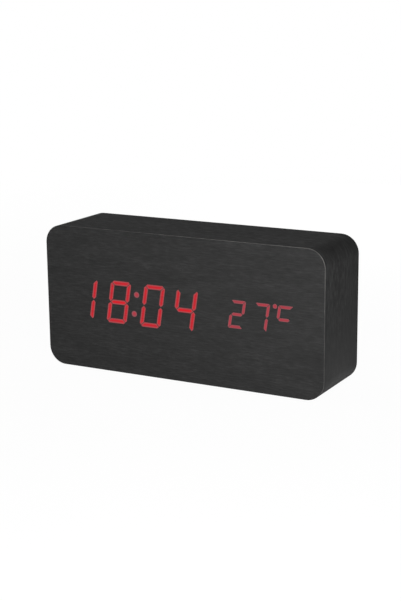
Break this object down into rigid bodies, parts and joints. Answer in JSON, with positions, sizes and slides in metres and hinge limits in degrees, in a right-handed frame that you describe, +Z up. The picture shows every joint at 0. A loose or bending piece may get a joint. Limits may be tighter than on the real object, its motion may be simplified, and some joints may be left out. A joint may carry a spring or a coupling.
{
  "type": "digital desk clock",
  "caption": "Free-standing desk clock: hollow wooden block with rounded corners, seven-segment time and temperature display, and a rear panel with battery door, push buttons and power socket.",
  "frame": {"origin": "on the surface that the clock stands on, under the middle of the case", "axes": "+X to the right as the display is read, +Y from the display to the back, +Z up"},
  "size_m": [0.15, 0.0398, 0.0708],
  "materials": {
    "grain_foil": "satin",
    "fibreboard": "matte",
    "lit_red": "gloss",
    "lit_soft_red": "gloss",
    "diffusing_film": "matte",
    "white_moulding": "matte",
    "cast_resin": "gloss",
    "lamp_body": "gloss",
    "circuit_board": "satin",
    "chip_black": "matte",
    "black_moulding": "matte",
    "button_black": "satin",
    "plated_steel": "satin",
    "nickel_strip": "satin",
    "cell_jacket": "gloss",
    "plain_can": "satin",
    "header_moulding": "matte",
    "sensor_bead": "gloss",
    "red_insulation": "satin",
    "black_insulation": "satin",
    "grey_insulation": "satin"
  },
  "bodies": {
    "clock": {"back_board": "fibreboard", "back_sheet": "grain_foil", "backup_cell": "plain_can", "backup_cell_clip": "nickel_strip", "backup_cell_holder": "chip_black", "battery_cell_1": "cell_jacket", "battery_cell_2": "cell_jacket", "battery_cell_3": "cell_jacket", "battery_cell_4": "cell_jacket", "battery_contacts": "nickel_strip", "battery_springs": "nickel_strip", "buzzer": "chip_black", "capacitors": "plain_can", "case_body": "grain_foil", "celsius_lit": "lit_soft_red", "clock_chip": "chip_black", "clock_crystal": "plain_can", "colon_lit": "lit_soft_red", "control_board": "circuit_board", "control_board_screws": "plated_steel", "control_ribbon": "grey_insulation", "degree_lit": "lit_soft_red", "display_diffuser": "diffusing_film", "front_sheet": "grain_foil", "hour_tens_lit": "lit_red", "hour_units_lit": "lit_red", "lamp_chips": "lamp_body", "main_board": "circuit_board", "main_board_screws": "plated_steel", "main_board_spacers": "white_moulding", "microphone": "plain_can", "minute_tens_lit": "lit_red", "minute_units_lit": "lit_red", "negative_lead": "black_insulation", "positive_lead": "red_insulation", "power_header": "header_moulding", "power_socket_shell": "plated_steel", "power_socket_tongue": "chip_black", "ribbon_header": "header_moulding", "service_panel": "black_moulding", "service_panel_screws": "plated_steel", "switch_housings": "chip_black", "temperature_light_guides": "cast_resin", "temperature_reflector": "white_moulding", "temperature_sensor": "sensor_bead", "temperature_tens_lit": "lit_soft_red", "temperature_units_lit": "lit_soft_red", "time_light_guides": "cast_resin", "time_reflector": "white_moulding"},
    "battery_door": {"battery_door": "black_moulding"},
    "set_key": {"set_button": "button_black", "set_switch_plunger": "chip_black"},
    "up_key": {"up_button": "button_black", "up_switch_plunger": "chip_black"},
    "down_key": {"down_button": "button_black", "down_switch_plunger": "chip_black"}
  },
  "joints": [
    {"name": "battery_door_hinge", "type": "hinge", "parent": "clock", "child": "battery_door", "pos_m": [0.02245, 0.0188, 0.057], "axis": [1, 0, 0], "range_deg": [0, 95]},
    {"name": "set_key_press", "type": "slide", "parent": "clock", "child": "set_key", "axis": [0, -1, 0], "range_m": [0, 0.0005], "stiffness_N_per_m": 600},
    {"name": "up_key_press", "type": "slide", "parent": "clock", "child": "up_key", "axis": [0, -1, 0], "range_m": [0, 0.0005], "stiffness_N_per_m": 600},
    {"name": "down_key_press", "type": "slide", "parent": "clock", "child": "down_key", "axis": [0, -1, 0], "range_m": [0, 0.0005], "stiffness_N_per_m": 600}
  ]
}
